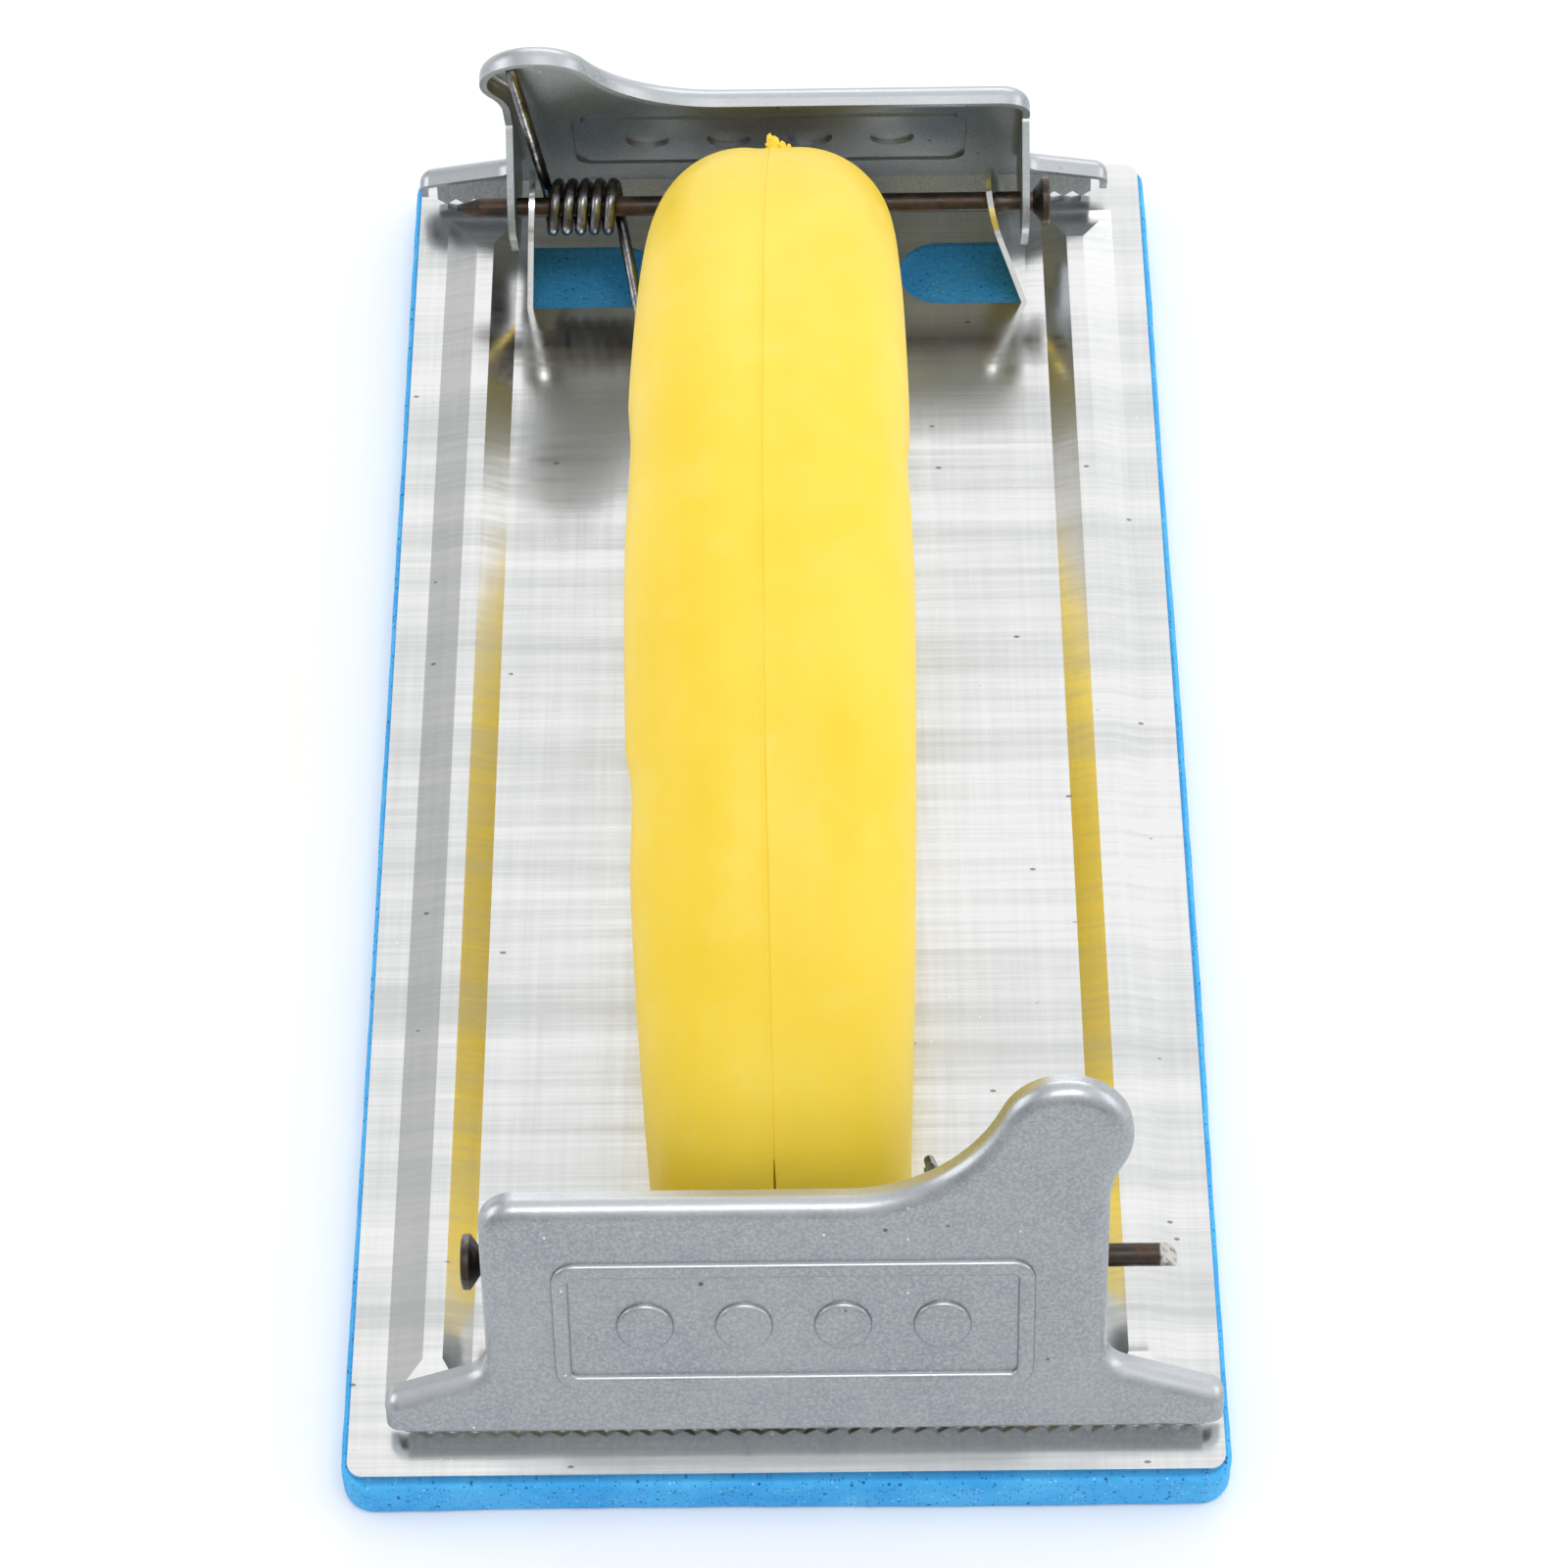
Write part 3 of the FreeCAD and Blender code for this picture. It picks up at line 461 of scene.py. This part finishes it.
BOW_HALF_SPAN = (bow_high[1] - bow_low[1]) / 2
BOW_HEIGHT = bow_high[2] - bow_low[2]
GRIP_WIDTH = bow_high[0] - bow_low[0]
FOOT_WIDTH = 30.8 * MM
BOW_INNER_SPAN = 63.5 * MM
BOW_INNER_HEIGHT = 40.0 * MM
CROWN_FLAT = 3.6 * MM
FINGER_ROUND = 7.0 * MM
BOW_STATIONS = 420
SEAM_OFFSET = -0.35 * MM
SEAM_WANDER = 0.18 * MM
GROOVE_HALF = 0.11 * MM
GROOVE_DEPTH = 0.16 * MM
BURR_WIDTH = 0.2 * MM
BURR_RISE = 0.1 * MM
SEAM_STEP = 0.14 * MM
LIP_SHARPNESS = 0.05 * MM
LIP_FADE = 1.3 * MM
SLIT_DEPTH = 1.6 * MM
SLIT_HALF = 0.21 * MM
SLIT_TURN = 0.475
SLIT_GROWTH = 0.12
SWELL_POWER = 1.5
SEAM_BAND = 0.98
SURFACE_RIPPLE = 0.12 * MM
RIPPLE_SCALE = 38
FINE_RIPPLE_SCALE = 110
FINE_RIPPLE_SHARE = 0.4
CROWN_LEAN = 1.15 * MM


def arc(centre_x, centre_y, radius, start, end, steps):
    """Points on an arc, without its last point; angles in degrees."""
    points = []
    for step in range(steps):
        angle = math.radians(start + (end - start) * step / steps)
        points.append((centre_x + radius * math.cos(angle), centre_y + radius * math.sin(angle)))
    return points


def line(x0, y0, x1, y1, steps):
    """Points on a straight line, without its last point."""
    return [(x0 + (x1 - x0) * step / steps, y0 + (y1 - y0) * step / steps)
            for step in range(steps)]


SEAM_PLACES = (-1.6, -1.1, -0.75, -0.5, -0.35, -0.25, -0.19, -0.15, -0.11, -0.07, -0.03, 0.03, 0.07,
               0.11, 0.15, 0.19, 0.25, 0.35, 0.5, 0.75, 1.1, 1.6)


def bow_ring(half, depth, seam):
    """One closed section of the handle: finger side at zero, crown at depth, seam in the middle."""
    crown = half - CROWN_FLAT
    side_top = depth - crown
    ring = line(-half + FINGER_ROUND, 0, half - FINGER_ROUND, 0, 14)
    ring += arc(half - FINGER_ROUND, FINGER_ROUND, FINGER_ROUND, -90, 0, 9)
    ring += line(half, FINGER_ROUND, half, side_top, 5)
    ring += arc(CROWN_FLAT, side_top, crown, 0, 90, 26)
    ring += [(CROWN_FLAT, depth)]
    ring += [(seam - place * MM, depth) for place in SEAM_PLACES]
    ring += [(-CROWN_FLAT, depth)]
    ring += arc(-CROWN_FLAT, side_top, crown, 90, 180, 26)[1:]
    ring += line(-half, side_top, -half, FINGER_ROUND, 5)
    ring += arc(-half + FINGER_ROUND, FINGER_ROUND, FINGER_ROUND, 180, 270, 9)
    return ring


def seam_line(turn):
    """Where the seam runs, off the middle."""
    return SEAM_OFFSET + SEAM_WANDER * noise.noise(Vector((turn * 3, 8.7, 0)))


def seam_relief(side, turn):
    """Height of the mould seam: a fine groove with a burr to its left and a raised right lip."""
    wander = 0.75 + 0.5 * noise.noise(Vector((turn * 9, 3.1, 0)))
    burr = BURR_RISE * math.exp(-((side + 2 * GROOVE_HALF) / BURR_WIDTH) ** 2)
    lip = SEAM_STEP / (1 + math.exp(-side / LIP_SHARPNESS)) * math.exp(-max(side, 0) / LIP_FADE)
    groove = GROOVE_DEPTH * math.exp(-(side / GROOVE_HALF) ** 2)
    relief = (burr + lip - groove) * wander
    opened = min(max((SLIT_TURN - min(turn, math.pi - turn)) / SLIT_GROWTH, 0), 1)
    slit_half = SLIT_HALF * math.sqrt(opened)
    if opened > 0 and abs(side) < slit_half:
        relief -= SLIT_DEPTH
    return relief


# Each dent: depth, where it starts, how sharply it starts, where it fades, how slowly it fades.
WAIST_DENT = (0.5 * MM, 17.5 * MM, 0.8 * MM, 11 * MM, 14 * MM)
LEFT_DENT = (0.55 * MM, -41.5 * MM, 0.7 * MM, -45 * MM, 8 * MM)


def dent_depth(along, dent):
    """Depth of a dent that starts sharply and fades out towards the near end."""
    depth, start, sharpness, fade, slowness = dent
    return (depth / (1 + math.exp((along - start) / sharpness))
            * math.exp(-(max(fade - along, 0) / slowness) ** 2))


def side_dents(along, side):
    """How far the moulding shrank inward: a waist on both sides and a dent on the left one."""
    depth = dent_depth(along, WAIST_DENT)
    if side < 0:
        depth += dent_depth(along, LEFT_DENT)
    return depth * abs(side)


def make_handle(material):
    """The yellow bow handle, with its mould seam, pinched ends and slight moulding waviness."""
    points = []
    around = 0
    for station in range(BOW_STATIONS + 1):
        turn = math.pi * station / BOW_STATIONS
        outer = Vector((0, -BOW_HALF_SPAN * math.cos(turn), BOW_HEIGHT * math.sin(turn)))
        inner = Vector((0, -BOW_INNER_SPAN * math.cos(turn), BOW_INNER_HEIGHT * math.sin(turn)))
        out = (outer - inner).normalized()
        depth = (outer - inner).length
        width = FOOT_WIDTH + (GRIP_WIDTH - FOOT_WIDTH) * max(math.sin(turn), 0) ** SWELL_POWER
        half = width / 2
        ring = bow_ring(half, depth, seam_line(turn))
        around = len(ring)
        for side, rise in ring:
            crown_share = min(max(rise / depth, 0), 1)
            if rise > depth * SEAM_BAND and abs(side) < CROWN_FLAT:
                rise += seam_relief(side - seam_line(turn), turn) - SEAM_STEP
            point = inner + out * rise + Vector((side, 0, 0))
            point.x -= side_dents(outer.y, side / half) * math.copysign(1, side)
            ripple = noise.noise(point * RIPPLE_SCALE)
            ripple += FINE_RIPPLE_SHARE * noise.noise(point * FINE_RIPPLE_SCALE)
            inward = Vector((side / half, 0, 0)) + out * (crown_share - 0.5)
            point -= inward.normalized() * SURFACE_RIPPLE * (0.5 + 0.5 * ripple)
            point.x -= CROWN_LEAN * min(max(point.z / BOW_HEIGHT, 0), 1)
            point.z = max(point.z, 0)
            points.append(point + Vector((0, 0, PLATE_TOP)))
    handle = make_mesh("bow_handle", points, tube_faces(BOW_STATIONS + 1, around), material)
    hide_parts("handle")
    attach(handle, BOARD)


NUB_SEED = 7
NUB_HEIGHT_SHARE = 0.585
NUB_ROWS = 7
NUB_AROUND = 14
NUB_ROOT_DEPTH = 0.5
# Each flake: offset across the seam, width, height and thickness, in millimetres.
NUB_FLAKES = ((-0.4, 2.0, 1.9, 0.6), (-0.9, 1.0, 2.3, 0.4), (0.8, 1.1, 1.3, 0.45),
              (1.7, 0.8, 0.9, 0.35))


def make_flash_nub(material):
    """The ragged bit of flash left on the far leg's seam, just above the clamp's rim."""
    draw = random.Random(NUB_SEED)
    turn = math.pi - math.asin(NUB_HEIGHT_SHARE)
    root = Vector((0, -BOW_HALF_SPAN * math.cos(turn), PLATE_TOP + BOW_HEIGHT * math.sin(turn)))
    out = Vector((0, root.y / BOW_HALF_SPAN ** 2, (root.z - PLATE_TOP) / BOW_HEIGHT ** 2))
    out.normalize()
    points = []
    faces = []
    for offset, wide, tall, thick in NUB_FLAKES:
        start = len(points)
        for row in range(NUB_ROWS):
            share = row / (NUB_ROWS - 1)
            level = (share * tall - NUB_ROOT_DEPTH) * MM
            pinch = math.sqrt(max(1 - share ** 3, 0.02))
            for step in range(NUB_AROUND):
                angle = 2 * math.pi * step / NUB_AROUND
                jag = 1 + draw.uniform(-0.22, 0.22)
                side = (offset + wide * 0.5 * math.cos(angle) * pinch * jag) * MM
                along = thick * math.sin(angle) * pinch * jag * MM
                ragged = level * (1 + draw.uniform(-0.12, 0.12))
                points.append(root + out * ragged + Vector((side, along * out.z, -along * out.y)))
        faces += [tuple(start + index for index in face)
                  for face in tube_faces(NUB_ROWS, NUB_AROUND)]
    nub = make_mesh("seam_flash", points, faces, material, smooth=False)
    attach(nub, BOARD)


# --- foam pad ------------------------------------------------------------------------------

FOAM_CORNER = 4.0 * MM
FOAM_EDGE = 1.1 * MM
FOAM_STEP = 0.9 * MM


def make_foam(material):
    """The sponge slab: soft rounded edges, a slightly uneven cut and a wavy side wall."""
    half_x = (foam_high[0] - foam_low[0]) / 2
    half_y = (foam_high[1] - foam_low[1]) / 2
    thick = foam_high[2] - foam_low[2]
    outline = []
    corner_steps = 8
    corners = ((half_x, -half_y, -90), (half_x, half_y, 0), (-half_x, half_y, 90),
               (-half_x, -half_y, 180))
    for index, (x, y, start) in enumerate(corners):
        centre_x = x - math.copysign(FOAM_CORNER, x)
        centre_y = y - math.copysign(FOAM_CORNER, y)
        outline += arc(centre_x, centre_y, FOAM_CORNER, start, start + 90, corner_steps)
        after_x, after_y, after_start = corners[(index + 1) % 4]
        next_x = after_x - math.copysign(FOAM_CORNER, after_x)
        next_y = after_y - math.copysign(FOAM_CORNER, after_y)
        angle = math.radians(start + 90)
        first = (centre_x + FOAM_CORNER * math.cos(angle), centre_y + FOAM_CORNER * math.sin(angle))
        angle = math.radians(after_start)
        last = (next_x + FOAM_CORNER * math.cos(angle), next_y + FOAM_CORNER * math.sin(angle))
        steps = max(int(math.dist(first, last) / FOAM_STEP), 2)
        outline += line(*first, *last, steps)
    section = []
    for step in range(5):
        angle = math.radians(-90 + 22.5 * step)
        section.append((FOAM_EDGE * (1 - math.cos(angle)), FOAM_EDGE * (1 + math.sin(angle))))
    wall_steps = 8
    for step in range(1, wall_steps):
        section.append((0, FOAM_EDGE + (thick - 2 * FOAM_EDGE) * step / wall_steps))
    for step in range(5):
        angle = math.radians(22.5 * step)
        section.append((FOAM_EDGE * (1 - math.cos(angle)), thick - FOAM_EDGE * (1 - math.sin(angle))))
    inner_rows = (3.0 * MM, 8.0 * MM)
    for inset in inner_rows:
        section.append((inset, thick))
        section.insert(0, (inset, 0))
    points = []
    for inset, level in section:
        for x, y in outline:
            flat = Vector((x, y, 0))
            shrink = Vector((math.copysign(1, x), math.copysign(1, y), 0))
            near_corner = (abs(x) > half_x - FOAM_CORNER) and (abs(y) > half_y - FOAM_CORNER)
            if near_corner:
                away = Vector((x - math.copysign(half_x - FOAM_CORNER, x),
                               y - math.copysign(half_y - FOAM_CORNER, y), 0)).normalized()
            elif abs(x) > half_x - FOAM_CORNER:
                away = Vector((shrink.x, 0, 0))
            else:
                away = Vector((0, shrink.y, 0))
            wave = noise.noise(Vector((x * 22, y * 22, level * 60)))
            fine = noise.noise(Vector((x * 260, y * 260, level * 400)))
            give = (0.28 * MM * (1 + wave) + 0.07 * MM * fine) if inset < 2 * MM else 0
            point = flat - away * (min(inset, FOAM_CORNER * 0.9) + give)
            if inset > FOAM_CORNER * 0.9:
                point.x *= (half_x - inset) / (half_x - FOAM_CORNER * 0.9)
                point.y *= (half_y - inset) / (half_y - FOAM_CORNER * 0.9)
            points.append(point + Vector((0, 0, foam_low[2] + level)))
    around = len(outline)
    foam = make_mesh("sponge_pad", points, tube_faces(len(section), around), material)
    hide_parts("foam_pad")
    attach(foam, BOARD)


# --- springs -------------------------------------------------------------------------------

WIRE_RADIUS = 0.825 * MM
COIL_RADIUS = 3.27 * MM
COIL_PITCH = 1.95 * MM
COIL_TURNS = 5
COIL_START = 22.65 * MM
SHORT_LEG_TIP = Vector((18.0, 21.3, 0)) * MM
LONG_LEG_TIP = Vector((36.0, 2.17, 29.99)) * MM
WIRE_STEPS = 14
TURN_STEPS = 40


def wire_path(end):
    """The spring's centre line for the near end, from short leg to long leg, with soft bends."""
    axis = hinge_point("near")
    foot = Vector((SHORT_LEG_TIP.x, axis.y + SHORT_LEG_TIP.y, PLATE_TOP + WIRE_RADIUS + 0.1 * MM))
    reach = foot - axis
    start = (math.atan2(reach.z, reach.y) + math.asin(COIL_RADIUS / math.hypot(reach.y, reach.z))
             - math.pi / 2)
    sweep = 2 * math.pi * COIL_TURNS + (math.pi + start)
    path = []
    steps = int(TURN_STEPS * sweep / (2 * math.pi))
    for step in range(steps + 1):
        angle = start - sweep * step / steps
        along = COIL_START + COIL_PITCH * sweep / (2 * math.pi) * step / steps
        path.append(Vector((along, axis.y + COIL_RADIUS * math.cos(angle),
                            axis.z + COIL_RADIUS * math.sin(angle))))
    hook = Vector((LONG_LEG_TIP.x, axis.y + LONG_LEG_TIP.y, axis.z + LONG_LEG_TIP.z))
    short_leg = [foot.lerp(path[0], share / 10) for share in range(10)]
    long_leg = [path[-1].lerp(hook, share / 14) for share in range(1, 15)]
    return short_leg + path + long_leg


def make_spring(end, material):
    """A torsion spring: its coil twists from the board to the clamp, its long leg follows the tab."""
    route = wire_path(end)
    smooth = [route[0]]
    for index in range(1, len(route) - 1):
        smooth.append(route[index] * 0.5 + (route[index - 1] + route[index + 1]) * 0.25)
    smooth.append(route[-1])
    if end == "far":
        smooth = [Vector((-point.x, -point.y, point.z)) for point in smooth]
    points = []
    lift = Vector((1, 0, 0))
    for index, point in enumerate(smooth):
        ahead = (smooth[min(index + 1, len(smooth) - 1)] - smooth[max(index - 1, 0)]).normalized()
        side = ahead.cross(lift).normalized()
        lift = side.cross(ahead).normalized()
        radius = WIRE_RADIUS
        if index in (0, len(smooth) - 1):
            radius *= 0.8
        for step in range(WIRE_STEPS):
            angle = 2 * math.pi * step / WIRE_STEPS
            points.append(point + side * radius * math.cos(angle) + lift * radius * math.sin(angle))
    spring = make_mesh(end + "_torsion_spring", points, tube_faces(len(smooth), WIRE_STEPS), material)
    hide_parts(end + "_spring")
    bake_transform(spring)


# --- the scene -----------------------------------------------------------------------------

def make_floor(material):
    """A wide pale floor under the foam."""
    reach = 6.0
    points = [(-reach, -reach, 0), (reach, -reach, 0), (reach, reach, 0), (-reach, reach, 0)]
    floor = make_mesh("floor", points, [(0, 1, 2, 3)], material, smooth=False)


make_camera()
make_world()
for light_name, light_sizes in LIGHTS.items():
    make_area_light(light_name, *light_sizes)
bpy.context.scene.view_settings.view_transform = "Standard"

plastic = make_plastic()
rolled_sheet = make_rolled_sheet()
zinc = make_zinc()
nail_steel = make_nail_steel()
spring_steel = make_spring_steel()
sponge = make_sponge()

make_floor(make_floor_paint())
finish_node("base_plate", rolled_sheet)
make_handle(plastic)
make_flash_nub(plastic)
make_foam(sponge)
for end in ENDS:
    finish_node(end + "_clamp", zinc)
    finish_node(end + "_hinge_pin", nail_steel)
    make_spring(end, spring_steel)
